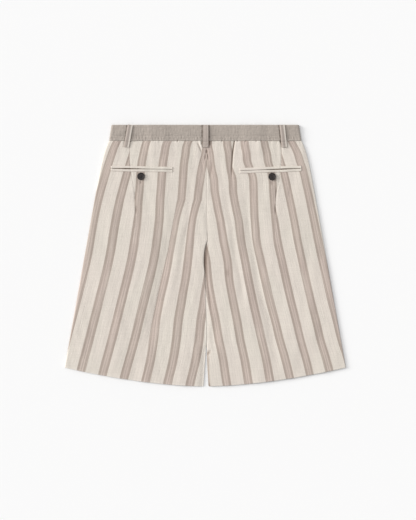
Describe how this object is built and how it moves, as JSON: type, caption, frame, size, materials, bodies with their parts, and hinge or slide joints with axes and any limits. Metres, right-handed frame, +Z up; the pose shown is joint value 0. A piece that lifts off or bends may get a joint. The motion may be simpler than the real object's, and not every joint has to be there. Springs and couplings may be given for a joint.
{
  "type": "bermuda shorts",
  "caption": "Striped bermuda shorts lying flat, back side up, with an elasticated back waistband, belt loops and buttoned welt pockets.",
  "frame": {"origin": "under the middle of the garment's bounding box, on the surface that it lies on", "axes": "+X across the garment towards its right as it is seen from above, +Y from the hem to the waist, +Z up from the surface"},
  "size_m": [0.5614, 0.524, 0.0089],
  "materials": {
    "striped_cloth": "matte",
    "band_cloth": "matte",
    "button": "satin"
  },
  "bodies": {
    "root": {"back_panel_left": "striped_cloth", "back_panel_right": "striped_cloth", "front_panel_left": "striped_cloth", "front_panel_right": "striped_cloth", "belt_loop_back_left": "striped_cloth", "belt_loop_back_centre": "striped_cloth", "belt_loop_back_right": "striped_cloth", "belt_loop_front_left": "striped_cloth", "belt_loop_front_right": "striped_cloth", "pocket_lip_upper_left": "striped_cloth", "pocket_lip_lower_left": "striped_cloth", "pocket_lip_upper_right": "striped_cloth", "pocket_lip_lower_right": "striped_cloth", "waistband_back": "band_cloth", "waistband_front": "band_cloth", "button_left": "button", "button_right": "button"}
  },
  "joints": []
}
